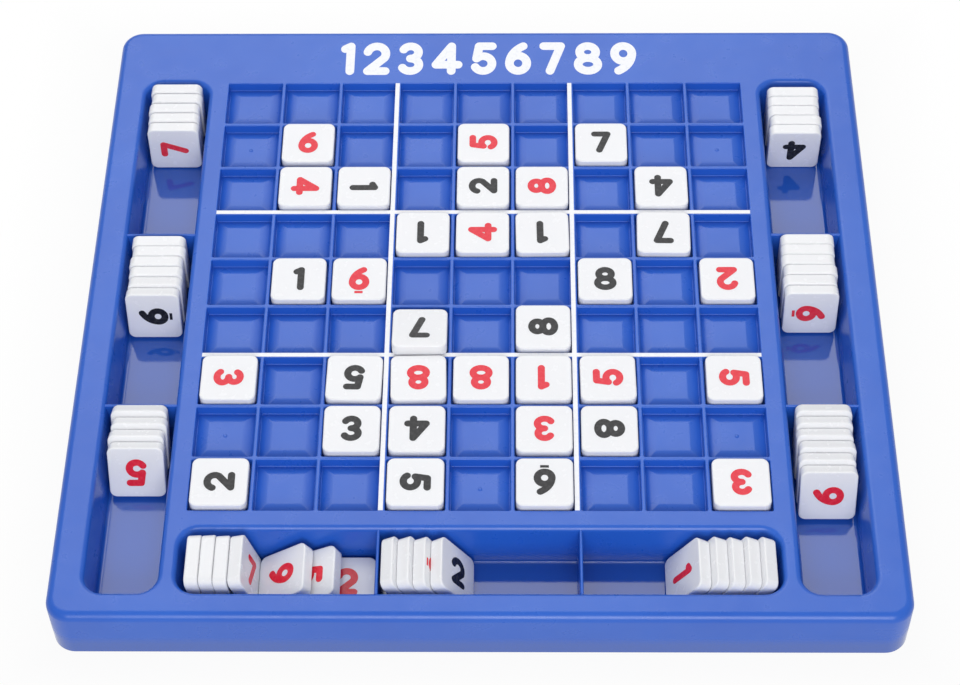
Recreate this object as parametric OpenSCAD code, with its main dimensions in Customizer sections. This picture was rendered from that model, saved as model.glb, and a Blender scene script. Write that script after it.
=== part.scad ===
// Number-puzzle board: a moulded board with a nine by nine grid of cells,
// three storage wells round it, and loose square tiles in the cells and wells.
// Millimetres. +Z is up, -Y is the player's side, and the origin is at the
// centre of the outline on the surface that the board stands on.

/* [Grid] */
// Distance from one cell to the next
pitch = 22; // [21:0.5:25]
// Width of the thin ribs between cells
rib_w = 1.4; // [1:0.1:2]
// Width of the heavy ribs between the nine boxes
box_rib_w = 2.2; // [1.8:0.1:3]
// Depth of a cell beside its ribs, below the deck
cell_depth = 4.7; // [3.5:0.1:6]
// Height of the raised pad in each cell
pad_h = 2; // [1:0.1:2.5]
// Width of the sloping side of a pad
pad_slope = 3.8; // [2:0.1:5]
// Width of the white lines on the heavy ribs
line_w = 1.6; // [1:0.1:1.8]
// Thickness of the white lines
line_t = 0.1; // [0.05:0.05:0.3]

/* [Tiles] */
// Clearance between a tile and each rib
tile_fit = 0.4; // [0.3:0.05:0.8]
// Thickness of a tile
tile_t = 4.6; // [4:0.1:5.5]
// Radius of a tile's corners, seen from above
tile_corner_r = 2.5; // [1.5:0.1:4]
// Radius of a tile's rounded edges
tile_edge_r = 0.5; // [0.3:0.1:1.2]
// How far the tipped tile has slipped towards the player
tile_slip = 2.4; // [2:0.1:2.6]
// Gap between tiles that stand or lie together
tile_gap = 0.12; // [0.05:0.01:0.3]

/* [Wells] */
// How far a standing tile rises above the deck
tile_proud = 2; // [1:0.1:5]
// Room beside a tile at the floor of a side well
side_fit = 0.9; // [0.8:0.1:2]
// Room beside a tile at the floor of the front well
front_fit = 0.9; // [0.7:0.1:1.5]
// How far a well's wall slopes outward on its way up
well_draft = 1.6; // [0.8:0.1:2.5]
// Radius of the rounded edge at a well's mouth
mouth_r = 1.3; // [0.5:0.1:1.8]
// Radius of the fillet at the foot of a well's wall
foot_r = 1.2; // [0.5:0.1:1.5]
// Corner radius of a well's mouth, seen from above
well_corner_r = 8; // [7:0.5:10]
// Thickness of the dividers
divider_t = 1.3; // [1:0.1:2]
// Height of the deck above the dividers
divider_drop = 0.8; // [0.2:0.1:3]
// How far the side wells run past the grid's back edge
side_overrun = 1.3; // [0:0.1:6]
// How far the front well runs past each end of the grid
front_overrun = 2.2; // [0.5:0.1:3]

/* [Board] */
// Thickness of the deck
deck_t = 2; // [1.9:0.1:2.5]
// Thickness of the skirt, the wells' walls and the floors
wall_t = 2; // [1.5:0.1:2.4]
// Height of the wells' underside above the table
under_gap = 2.5; // [1:0.5:8]
// Width of the deck between the grid and a well
strip_w = 5.5; // [5:0.5:10]
// Width of the deck outside the side wells
side_rim = 10.5; // [6:0.5:20]
// Width of the deck in front of the front well
front_rim = 8.7; // [6:0.1:20]
// Width of the header behind the grid
header = 28; // [15:1:50]
// Corner radius of the board, seen from above
corner_r = 8; // [5:0.5:20]
// Radius of the rounded edge round the deck
edge_r = 3; // [0.5:0.5:4]

/* [Hidden] */
CELLS = 9;
BOX = 3;
COMPARTMENTS = 3;
ARC_STEPS = 4;
CUT = 1;
board_blue = "#3358c4";
tile_white = "#f2f4fb";
line_white = "#ffffff";

// Grid tiles as [row from the back, column from the left, turn in degrees]
lying_tiles = [
    [2, 2, 0], [2, 5, 0], [2, 7, 0],
    [3, 2, 0], [3, 3, 0], [3, 5, 0], [3, 6, 0], [3, 8, 0],
    [4, 4, 0], [4, 5, 0], [4, 6, 1], [4, 8, -1],
    [5, 2, 0], [5, 3, 0], [5, 7, 0], [5, 9, 0],
    [6, 6, 0],
    [7, 1, 0], [7, 3, -1], [7, 4, 1.2], [7, 5, 0], [7, 6, 0], [7, 7, 0.8], [7, 9, 0],
    [8, 3, 0], [8, 4, 0], [8, 6, 0], [8, 7, 0],
    [9, 1, 0], [9, 4, 0], [9, 6, 0], [9, 9, 0]
];
tipped_cell = [6, 4];

// Rows in the side wells as
// [name, side, compartment from the back, setback, extra gap, lean of each tile]
side_rows = [
    ["left_back_tiles", -1, 0, 0.2, 0.27, [5, 5, 5, 5, 5]],
    ["left_middle_tiles", -1, 1, 2.3, 0, [0, 2.8, 5.6, 8.4, 11.2, 14]],
    ["left_front_tiles", -1, 2, 0.3, 0, [25, 25, 25, 25]],
    ["right_back_tiles", 1, 0, 0.5, 0.15, [0, 0, 0, 0, 0]],
    ["right_middle_tiles", 1, 1, 1.6, 0, [0, 1.9, 3.8, 5.7, 7.6, 9.5]],
    ["right_front_tiles", 1, 2, 0.3, 0, [22, 22, 22, 22, 22, 22]]
];

// Rows in the front well as [name, way that the row grows, leans of the parallel tiles and of the end tile]
front_rows = [
    ["front_middle_tiles", 1, [28, 28, 28, 33]],
    ["front_right_tiles", -1, [28, 28, 28, 28, 33]]
];
middle_setback = 0.7;
// Lean of the end tile in the front left row, and tilt of the two fallen tiles that lie on others
row_lean = 15;
low_tilt = 27.5;
high_tilt = 35;

// Overall sizes, worked out from the pieces that they hold
grid_w = CELLS * pitch;
opening_w = grid_w - rib_w;
tile_w = pitch - (rib_w + box_rib_w) / 2 - 2 * tile_fit;
well_depth = tile_w - tile_proud;
side_w = tile_w + 2 * (side_fit + well_draft + mouth_r);
front_w = tile_w + 2 * (front_fit + well_draft + mouth_r);
board_w = grid_w + 2 * (strip_w + side_w + side_rim);
board_d = front_rim + front_w + strip_w + grid_w + header;
board_h = under_gap + wall_t + well_depth;

// Heights
deck_under = board_h - deck_t;
floor_z = board_h - well_depth;
valley_z = board_h - cell_depth;
pad_z = valley_z + pad_h;

// Places
front_y = -board_d / 2 + front_rim;
grid_y = front_y + front_w + strip_w + grid_w / 2;
side_x = grid_w / 2 + strip_w + side_w / 2;
side_back_y = grid_y + grid_w / 2 + side_overrun;
side_l = side_back_y - front_y;
side_y = (side_back_y + front_y) / 2;
front_l = grid_w + 2 * front_overrun;
front_mid_y = front_y + front_w / 2;
wall_run = mouth_r + well_draft;
line_shift = (box_rib_w - line_w) / 2;
wall_slope = well_draft / (well_depth - foot_r - mouth_r);
wall_lean = atan(wall_slope);
side_sway = side_fit * 0.35;
front_sway = front_fit * 0.15;
front_shift = front_fit * 0.5;
tiles_y = front_mid_y - front_shift;

// Position of grid line k, counted from 0, and half the width of the rib on it
function line_at(k) = -grid_w / 2 + k * pitch;
function is_box_line(k) = k > 0 && k < CELLS && k % BOX == 0;
function rib_half(k) = (is_box_line(k) ? box_rib_w : rib_w) / 2;
function cell_low(k) = line_at(k) + rib_half(k);
function cell_high(k) = line_at(k + 1) - rib_half(k + 1);
function cell_mid(k) = (cell_low(k) + cell_high(k)) / 2;

// Centre of a cell, by row from the back and column from the left
function cell_x(col) = cell_mid(col - 1);
function cell_y(row) = grid_y - cell_mid(row - 1);

function tile_name(cell) = str("tile_r", cell[0], "c", cell[1]);

// Points of a quarter arc about a centre, from one angle to another
function arc(centre, r, from, to) = [
    for (i = [0:ARC_STEPS])
        let (a = from + (to - from) * i / ARC_STEPS)
        centre + r * [cos(a), sin(a)]
];

// How far a leaning tile's rounded lower edge would float above its seat
function edge_float(lean) = tile_edge_r * (sin(lean) + cos(lean) - 1);

// A block with rounded corners whose edge follows one outline all the way round.
// The outline's points are [reach from the corner's centre, height], from top to bottom.
module rounded_block(size_x, size_y, r, outline) {
    top = outline[0][1];
    bottom = outline[len(outline) - 1][1];
    inner_x = size_x - 2 * r;
    inner_y = size_y - 2 * r;
    edge = concat([[0, top]], outline, [[0, bottom]]);
    translate([-inner_x / 2, -inner_y / 2, bottom])
        cube([inner_x, inner_y, top - bottom]);
    for (turn = [0, 180]) rotate(turn) {
        translate([inner_x / 2, inner_y / 2, 0])
            rotate([90, 0, 0]) linear_extrude(inner_y) polygon(edge);
        translate([-inner_x / 2, inner_y / 2, 0])
            rotate([90, 0, 90]) linear_extrude(inner_x) polygon(edge);
        translate([inner_x / 2, inner_y / 2, 0])
            rotate_extrude(angle = 90, $fn = 64) polygon(edge);
        translate([-inner_x / 2, inner_y / 2, 0])
            rotate(90) rotate_extrude(angle = 90, $fn = 64) polygon(edge);
    }
}

// Hollow of a well, from above the deck down to its floor
module well_hollow(size_x, size_y) {
    r = well_corner_r;
    rounding = arc([r, -mouth_r], mouth_r, 90, 180);
    fillet = arc([r - wall_run - foot_r, foot_r - well_depth], foot_r, 0, -90);
    translate([0, 0, board_h])
        rounded_block(size_x, size_y, r, concat([[r, CUT]], rounding, fillet));
}

// Outside of a well below the deck
module well_body(size_x, size_y) {
    r = well_corner_r;
    top_run = mouth_r + wall_slope * (deck_t - mouth_r);
    translate([0, 0, board_h])
        rounded_block(size_x, size_y, r, [
            [r - top_run + wall_t, -deck_t],
            [r - wall_run + wall_t, -well_depth - wall_t]
        ]);
}

// A well with its two dividers, long way along Y
module well(size_x, size_y) {
    difference() {
        well_body(size_x, size_y);
        well_hollow(size_x, size_y);
    }
    for (k = [1:COMPARTMENTS - 1])
        intersection() {
            well_hollow(size_x, size_y);
            translate([-size_x / 2, size_y * (k / COMPARTMENTS - 0.5) - divider_t / 2, floor_z])
                cube([size_x, divider_t, well_depth - divider_drop]);
        }
}

module at_left_well() { translate([-side_x, side_y, 0]) children(); }
module at_right_well() { translate([side_x, side_y, 0]) children(); }
module at_front_well() { translate([0, front_mid_y, 0]) rotate(90) children(); }

// Deck, outer skirt and the curtain that holds the cell floors
module board_shell() {
    edge = arc([corner_r - edge_r, board_h - edge_r], edge_r, 90, 0);
    curtain_w = opening_w + 2 * wall_t;
    curtain_z = valley_z - wall_t;
    color(board_blue) difference() {
        union() {
            difference() {
                rounded_block(board_w, board_d, corner_r, concat(edge, [[corner_r, 0]]));
                rounded_block(board_w, board_d, corner_r, [
                    [corner_r - wall_t, deck_under],
                    [corner_r - wall_t, -CUT]
                ]);
            }
            translate([-curtain_w / 2, grid_y - curtain_w / 2, curtain_z])
                cube([curtain_w, curtain_w, deck_under - curtain_z]);
        }
        at_left_well() well_hollow(side_w, side_l);
        at_right_well() well_hollow(side_w, side_l);
        at_front_well() well_hollow(front_w, front_l);
        translate([-opening_w / 2, grid_y - opening_w / 2, curtain_z - CUT])
            cube([opening_w, opening_w, board_h - curtain_z + 2 * CUT]);
    }
}

// Side view of the cell floors: a pad in each cell, low under each rib
module floor_section() {
    under = valley_z - wall_t;
    polygon(concat(
        [[opening_w / 2, under], [-opening_w / 2, under]],
        [for (k = [0:CELLS - 1]) each [
            [cell_low(k), valley_z],
            [cell_low(k) + pad_slope, pad_z],
            [cell_high(k) - pad_slope, pad_z],
            [cell_high(k), valley_z]
        ]]
    ));
}

module cell_floor() {
    color(board_blue) translate([0, grid_y, 0]) intersection() {
        translate([0, opening_w / 2, 0])
            rotate([90, 0, 0]) linear_extrude(opening_w) floor_section();
        translate([-opening_w / 2, 0, 0])
            rotate([90, 0, 90]) linear_extrude(opening_w) floor_section();
    }
}

// Ribs that run front to back, the whole length of the grid
module long_ribs() {
    color(board_blue) translate([0, grid_y, valley_z]) for (k = [1:CELLS - 1])
        translate([line_at(k) - rib_half(k), -opening_w / 2, 0])
            cube([2 * rib_half(k), opening_w, cell_depth]);
}

// Short ribs that cross from one long rib to the next
module cross_ribs() {
    color(board_blue) translate([0, grid_y, valley_z]) for (k = [1:CELLS - 1], i = [0:CELLS - 1])
        translate([cell_low(i), line_at(k) - rib_half(k), 0])
            cube([cell_high(i) - cell_low(i), 2 * rib_half(k), cell_depth]);
}

module left_well() { color(board_blue) at_left_well() well(side_w, side_l); }
module right_well() { color(board_blue) at_right_well() well(side_w, side_l); }
module front_well() { color(board_blue) at_front_well() well(front_w, front_l); }

// White lines printed on the heavy ribs, the long ones a little left of the middle
module box_lines() {
    long_left = line_shift + line_w / 2;
    long_right = line_w / 2 - line_shift;
    color(line_white) translate([0, grid_y, board_h]) for (k = [BOX:BOX:CELLS - 1]) {
        translate([line_at(k) - long_left, -opening_w / 2, 0])
            cube([line_w, opening_w, line_t]);
        for (b = [0:BOX - 1]) {
            from = b == 0 ? -opening_w / 2 : line_at(b * BOX) + long_right;
            to = b == BOX - 1 ? opening_w / 2 : line_at((b + 1) * BOX) - long_left;
            translate([from, line_at(k) - line_w / 2, 0])
                cube([to - from, line_w, line_t]);
        }
    }
}

// One tile lying flat, with its underside at height 0
module tile() {
    r = tile_corner_r;
    e = tile_edge_r;
    color(tile_white) rounded_block(tile_w, tile_w, r, concat(
        arc([r - e, tile_t - e], e, 90, 0),
        arc([r - e, e], e, 0, -90)
    ));
}

// A tile on edge, facing -Y, with the lower edge of its back at the origin
module standing_tile() {
    translate([0, 0, tile_w / 2]) rotate([90, 0, 0]) tile();
}

// A tile on edge, facing +X, with the lower edge of its back at the origin
module standing_tile_facing_x() {
    rotate(90) standing_tile();
}

module lying_tile(cell) {
    translate([cell_x(cell[1]), cell_y(cell[0]), pad_z]) rotate(cell[2]) tile();
}

// The slipped tile: its back edge is on the pad, and its underside is on the rib in front
module tipped_tile() {
    e = tile_edge_r;
    back_y = cell_y(tipped_cell[0]) + tile_w / 2 - tile_slip - e;
    back_z = pad_z + tile_gap + e;
    rib_y = grid_y - cell_high(tipped_cell[0] - 1);
    run = back_y - rib_y;
    rise = board_h + line_t - back_z;
    tilt = atan(rise / run) + asin((e + tile_gap) / norm([run, rise]));
    translate([cell_x(tipped_cell[1]), back_y, back_z])
        rotate([-tilt, 0, 0])
        translate([0, e - tile_w / 2, -e]) tile();
}

// Height of a tilted tile's lower corner, with its rounded edge on the floor
function corner_z(tilt) = tile_gap - edge_float(tilt);

// Distance from the foot of an end wall that keeps a tile clear of the well's rounded corners
function end_room(fit) =
    let (r = well_corner_r - wall_run - tile_edge_r)
    r - sqrt(pow(r - tile_gap, 2) - pow(max(r - fit, 0), 2));

// Distance between the feet of two neighbours with leans a and b, the second leaning on the first
function fan_step(a, b, extra_gap) = (
    tile_t + tile_gap + (a == b ? extra_gap : 0)
    + (tile_w - tile_edge_r) * sin(b - a)
    + tile_edge_r * (1 - cos(b - a))
    - (corner_z(b) - corner_z(a)) * sin(a)
) / cos(a);

// Distance from the first foot of a row to foot number i
function foot_at(leans, i, extra_gap) = i == 0 ? 0
    : foot_at(leans, i - 1, extra_gap) + fan_step(leans[i - 1], leans[i], extra_gap);

// Tiles on edge in a row along +X, each leaning back on the one before it and a little uneven
module tile_row(leans, extra_gap, sway, phase) {
    for (i = [0:len(leans) - 1])
        translate([foot_at(leans, i, extra_gap), sway * sin(137 * i + phase), corner_z(leans[i])])
            rotate([0, -leans[i], 0]) standing_tile_facing_x();
}

// A row in a side well, in front of the end wall or the divider behind it
module side_row(side, compartment, setback, extra_gap, leans) {
    start_y = compartment == 0
        ? side_back_y - wall_run - end_room(side_fit - side_sway)
        : side_back_y - compartment * side_l / COMPARTMENTS - divider_t / 2
            - (well_depth - divider_drop) * tan(leans[0]);
    translate([side * side_x, start_y - setback, floor_z])
        rotate(-90) tile_row(leans, extra_gap, side_sway, 40 * side);
}

// Distance from the front well's end to the foot of a tile that leans on the mouth there,
// clear of the mouth's rounded corners
function lean_room(lean) =
    let (
        run = mouth_r * cos(lean),
        rise = well_depth - mouth_r * (1 - sin(lean)),
        r = well_corner_r - run,
        out = tile_w / 2 + front_shift + front_sway - front_w / 2 + well_corner_r
    )
    run + rise * tan(lean) + r - sqrt(r * r - out * out) + tile_gap;

// A row in the front well that leans on a divider and grows right, or on the end wall and grows left
module front_row(way, leans) {
    start_x = way > 0
        ? -front_l / COMPARTMENTS / 2 + divider_t / 2 + middle_setback
            + (well_depth - divider_drop) * tan(leans[0])
        : -front_l / 2 + lean_room(leans[0]);
    translate([0, tiles_y, floor_z]) mirror([way > 0 ? 0 : 1, 0, 0])
        translate([start_x, 0, 0]) tile_row(leans, 0, front_sway, 0);
}

// Lower left corner of a tilted tile whose underside rests on a rounded edge.
// The edge's centre and the corner are [x, height above the floor].
function rests_on(edge, tilt) = [
    edge[0] - (cos(tilt) * (edge[1] - corner_z(tilt)) + tile_edge_r + tile_gap) / sin(tilt),
    corner_z(tilt)
];

// Centre of the rounded upper left edge of a tile tilted up to the right
function upper_edge(corner, tilt) = corner
    + (tile_t - tile_edge_r) * [-sin(tilt), cos(tilt)]
    + tile_edge_r * [cos(tilt), sin(tilt)];

module tilted_tile(corner, tilt) {
    translate([corner[0], 0, corner[1]])
        rotate([0, -tilt, 0]) translate([tile_w / 2, 0, 0]) tile();
}

// Front left compartment: a flat tile by the divider, two fallen tiles that lie on
// one another, and a row that leans on the wall and fills what room is left
module front_left_tiles() {
    wall_x = -front_l / 2 + wall_run;
    flat_x = -front_l / COMPARTMENTS / 2 - divider_t / 2 - tile_fit - tile_w;
    low_corner = rests_on([flat_x + tile_edge_r, tile_gap + tile_t - tile_edge_r], low_tilt);
    high_corner = rests_on(upper_edge(low_corner, low_tilt), high_tilt);
    touch = upper_edge(high_corner, high_tilt);
    lean_x = touch[0] - tile_t * cos(row_lean)
        - (tile_edge_r + tile_gap
           - sin(row_lean) * (touch[1] - corner_z(row_lean) - tile_t * sin(row_lean)))
        / cos(row_lean);
    step = fan_step(wall_lean, wall_lean, 0);
    room = lean_x - fan_step(wall_lean, row_lean, 0) - wall_x
        - end_room(front_fit - front_shift - front_sway);
    count = max(1, 1 + floor(room / step));
    leans = concat([for (i = [1:count]) wall_lean], [row_lean]);
    translate([0, tiles_y, floor_z]) {
        translate([flat_x, 0, 0]) tilted_tile([0, tile_gap], 0);
        tilted_tile(low_corner, low_tilt);
        tilted_tile(high_corner, high_tilt);
        translate([lean_x - foot_at(leans, count, 0), 0, 0])
            tile_row(leans, 0, front_sway, 0);
    }
}

board_shell();
cell_floor();
long_ribs();
cross_ribs();
left_well();
right_well();
front_well();
box_lines();
for (cell = lying_tiles)
    lying_tile(cell);
tipped_tile();
for (row = side_rows)
    side_row(row[1], row[2], row[3], row[4], row[5]);
front_left_tiles();
for (row = front_rows)
    front_row(row[1], row[2]);
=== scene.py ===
"""Looks of a number-puzzle board: the moulded board, its tiles with printed digits, and a plain studio."""

import logging
import math
from dataclasses import dataclass
from enum import Enum
from typing import Iterable, Sequence

import bmesh
import bpy
from mathutils import Matrix, Vector
from mathutils.geometry import delaunay_2d_cdt


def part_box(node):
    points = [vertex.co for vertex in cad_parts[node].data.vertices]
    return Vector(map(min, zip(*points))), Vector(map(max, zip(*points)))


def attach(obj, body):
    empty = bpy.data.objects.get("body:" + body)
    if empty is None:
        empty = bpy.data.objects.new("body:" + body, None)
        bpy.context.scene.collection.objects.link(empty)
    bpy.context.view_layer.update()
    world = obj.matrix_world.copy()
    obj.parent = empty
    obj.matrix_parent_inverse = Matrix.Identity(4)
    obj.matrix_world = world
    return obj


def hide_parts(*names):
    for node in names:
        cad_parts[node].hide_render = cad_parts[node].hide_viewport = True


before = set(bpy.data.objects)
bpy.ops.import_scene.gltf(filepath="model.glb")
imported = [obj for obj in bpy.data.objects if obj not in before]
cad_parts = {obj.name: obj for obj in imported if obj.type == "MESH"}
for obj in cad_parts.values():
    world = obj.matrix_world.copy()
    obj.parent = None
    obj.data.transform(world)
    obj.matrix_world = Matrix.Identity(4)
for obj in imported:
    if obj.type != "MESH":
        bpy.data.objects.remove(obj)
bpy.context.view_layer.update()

LOG = logging.getLogger("number_board")
MM = 0.001
PHOTO_WIDTH_PX = 960
FLAT_WEIGHT = 80
# Kinds of triangles that delaunay_2d_cdt can be asked for.
HULL_TRIANGLES = 0
INSIDE_TRIANGLES = 1

Point = tuple[float, float]
Outline = list[Point]
Triple = tuple[float, float, float]
Colour = Triple
Socket = bpy.types.NodeSocket
Feed = Socket | float | Sequence[float]


class Ink(Enum):
    """Colours that the digits are printed in, with the record's slot for each."""

    RED = "red_print"
    BLACK = "black_print"


class Turn(Enum):
    """Way that a printed digit is turned, in degrees counter-clockwise for someone facing it."""

    UPRIGHT = 0
    LEFT = 90
    OVER = 180
    RIGHT = 270


@dataclass(frozen=True)
class RoundedRectangle:
    """A rectangle with rounded corners, seen from above, in millimetres."""

    centre_x: float
    centre_y: float
    size_x: float
    size_y: float
    radius: float
    least_radius: float = 0.3
    arc_steps: int = 8

    def outline(self, inset: float) -> Outline:
        """Points of the rectangle moved inward, counter-clockwise.

        Args:
            inset: Distance that the outline moves inward; below 0 it moves outward.

        Returns:
            As many points at every inset, so that outlines can be joined point to point.
        """
        radius = max(self.radius - inset, self.least_radius)
        half_x = self.size_x / 2 - inset - radius
        half_y = self.size_y / 2 - inset - radius
        points = []
        for corner, (sign_x, sign_y) in enumerate(((1, 1), (-1, 1), (-1, -1), (1, -1))):
            for step in range(self.arc_steps + 1):
                angle = math.pi / 2 * (corner + step / self.arc_steps)
                points.append((
                    self.centre_x + sign_x * half_x + radius * math.cos(angle),
                    self.centre_y + sign_y * half_y + radius * math.sin(angle),
                ))
        return points


def profile_arc(centre: Point, radius: float, start: float, end: float, steps: int) -> list[Point]:
    """Points of an arc in a side profile.

    Args:
        centre: Centre of the arc as (inset, height).
        radius: Radius of the arc.
        start: First angle in degrees.
        end: Last angle in degrees.
        steps: Number of straight steps along the arc.

    Returns:
        The arc's points as (inset, height).
    """
    angles = [math.radians(start + (end - start) * i / steps) for i in range(steps + 1)]
    return [(centre[0] + radius * math.cos(a), centre[1] + radius * math.sin(a)) for a in angles]


class LoopMesh:
    """A mesh that grows from closed loops of points, in millimetres."""

    MERGE = 1e-6

    def __init__(self) -> None:
        """Starts with no points and no faces."""
        self.points: list[Triple] = []
        self.faces: list[list[int]] = []

    def loop(self, outline: Outline, height: float) -> list[int]:
        """Adds one level loop.

        Args:
            outline: The loop's points from above.
            height: Height of the loop.

        Returns:
            Numbers of the new points.
        """
        first = len(self.points)
        self.points.extend((x, y, height) for x, y in outline)
        return list(range(first, len(self.points)))

    def bridge(self, upper: Sequence[int], lower: Sequence[int]) -> None:
        """Joins two loops of equal length with a band of four-sided faces."""
        count = len(upper)
        for i in range(count):
            j = (i + 1) % count
            self.faces.append([upper[i], upper[j], lower[j], lower[i]])

    def cap(self, loop: Sequence[int]) -> None:
        """Closes a loop with one flat face."""
        self.faces.append(list(loop))

    def sweep(self, shape: RoundedRectangle, profile: Iterable[Point]) -> tuple[list[int], list[int]]:
        """Runs a side profile round a rectangle.

        Args:
            shape: The rectangle that the profile follows.
            profile: Points of the profile as (inset, height).

        Returns:
            The first and the last loop.
        """
        loops = [self.loop(shape.outline(inset), height) for inset, height in profile]
        for upper, lower in zip(loops, loops[1:]):
            self.bridge(upper, lower)
        return loops[0], loops[-1]

    def web(self, border: Sequence[int], holes: Sequence[Sequence[int]]) -> None:
        """Fills the flat area between a border and the holes in it.

        Args:
            border: The outer loop.
            holes: Convex loops that stay open.
        """
        loops = [list(border), *[list(hole) for hole in holes]]
        numbers = [n for loop in loops for n in loop]
        owner = [k for k, loop in enumerate(loops) for _ in loop]
        flat = [Vector(self.points[n][:2]) for n in numbers]
        edges = []
        first = 0
        for loop in loops:
            count = len(loop)
            edges.extend((first + i, first + (i + 1) % count) for i in range(count))
            first += count
        _, _, triangles, sources, _, _ = delaunay_2d_cdt(flat, edges, [], HULL_TRIANGLES, self.MERGE)
        for triangle in triangles:
            corners = [sources[v][0] for v in triangle]
            owners = {owner[c] for c in corners}
            if len(owners) == 1 and 0 not in owners:
                continue
            self.faces.append([numbers[c] for c in corners])

    def build(self, name: str, sharp_angle: float = 50.0) -> bpy.types.Object:
        """Makes the object, with its faces turned outward and smooth shading.

        Args:
            name: Name of the new object.
            sharp_angle: Edges that turn more than this many degrees stay sharp.

        Returns:
            The object, linked to the scene.
        """
        mesh = bpy.data.meshes.new(name)
        mesh.from_pydata([(x * MM, y * MM, z * MM) for x, y, z in self.points], [], self.faces)
        turn_outward(mesh)
        mesh.shade_smooth()
        mesh.set_sharp_from_angle(angle=math.radians(sharp_angle))
        piece = add_object(name, mesh)
        even_normals(piece)
        return piece


def add_object(name: str, data: bpy.types.ID) -> bpy.types.Object:
    """Makes an object of a mesh, light or camera and links it to the scene."""
    item = bpy.data.objects.new(name, data)
    bpy.context.scene.collection.objects.link(item)
    return item


def give_material(node: str, material: bpy.types.Material) -> bpy.types.Object:
    """Gives a CAD node its material and returns the node's object."""
    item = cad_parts[node]
    item.data.materials.clear()
    item.data.materials.append(material)
    return item


def turn_outward(mesh: bpy.types.Mesh) -> None:
    """Turns every face of a closed mesh outward."""
    sketch = bmesh.new()
    sketch.from_mesh(mesh)
    bmesh.ops.recalc_face_normals(sketch, faces=sketch.faces[:])
    sketch.to_mesh(mesh)
    sketch.free()


def even_normals(piece: bpy.types.Object) -> None:
    """Lets the large flat faces set the shading, so that they look flat beside rounded edges."""
    modifier = piece.modifiers.new("even_normals", "WEIGHTED_NORMAL")
    modifier.weight = FLAT_WEIGHT
    modifier.keep_sharp = True


@dataclass(frozen=True)
class BoardSizes:
    """Sizes of the board in millimetres, as in the CAD source; mouth_blend is for the looks alone."""

    cells: int = 9
    box: int = 3
    pitch: float = 22.0
    rib_w: float = 1.4
    box_rib_w: float = 2.2
    cell_depth: float = 4.7
    pad_h: float = 2.0
    pad_slope: float = 3.8
    deck_t: float = 2.0
    wall_t: float = 2.0
    edge_r: float = 3.0
    corner_r: float = 8.0
    well_depth: float = 17.4
    well_draft: float = 1.6
    well_corner_r: float = 8.0
    mouth_r: float = 1.3
    mouth_blend: float = 2.0
    foot_r: float = 1.2
    divider_t: float = 1.3
    divider_drop: float = 0.8
    compartments: int = 3
    strip_w: float = 5.5
    side_w: float = 27.0
    front_w: float = 27.0
    side_overrun: float = 1.3
    front_overrun: float = 2.2
    front_rim: float = 8.7

    @property
    def grid_w(self) -> float:
        """Width of the grid between its outermost lines."""
        return self.cells * self.pitch

    @property
    def opening_w(self) -> float:
        """Width of the grid's opening in the deck."""
        return self.grid_w - self.rib_w

    @property
    def wall_run(self) -> float:
        """How far a well narrows from its mouth to the foot of its walls."""
        return self.mouth_r + self.well_draft

    def line_at(self, k: int) -> float:
        """Position of grid line k, counted from 0."""
        return -self.grid_w / 2 + k * self.pitch

    def rib_half(self, k: int) -> float:
        """Half the width of the rib on grid line k."""
        heavy = 0 < k < self.cells and k % self.box == 0
        return (self.box_rib_w if heavy else self.rib_w) / 2

    def cell_span(self, k: int) -> Point:
        """Low and high side of cell number k along one axis, from the grid's centre."""
        return self.line_at(k) + self.rib_half(k), self.line_at(k + 1) - self.rib_half(k + 1)


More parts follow.
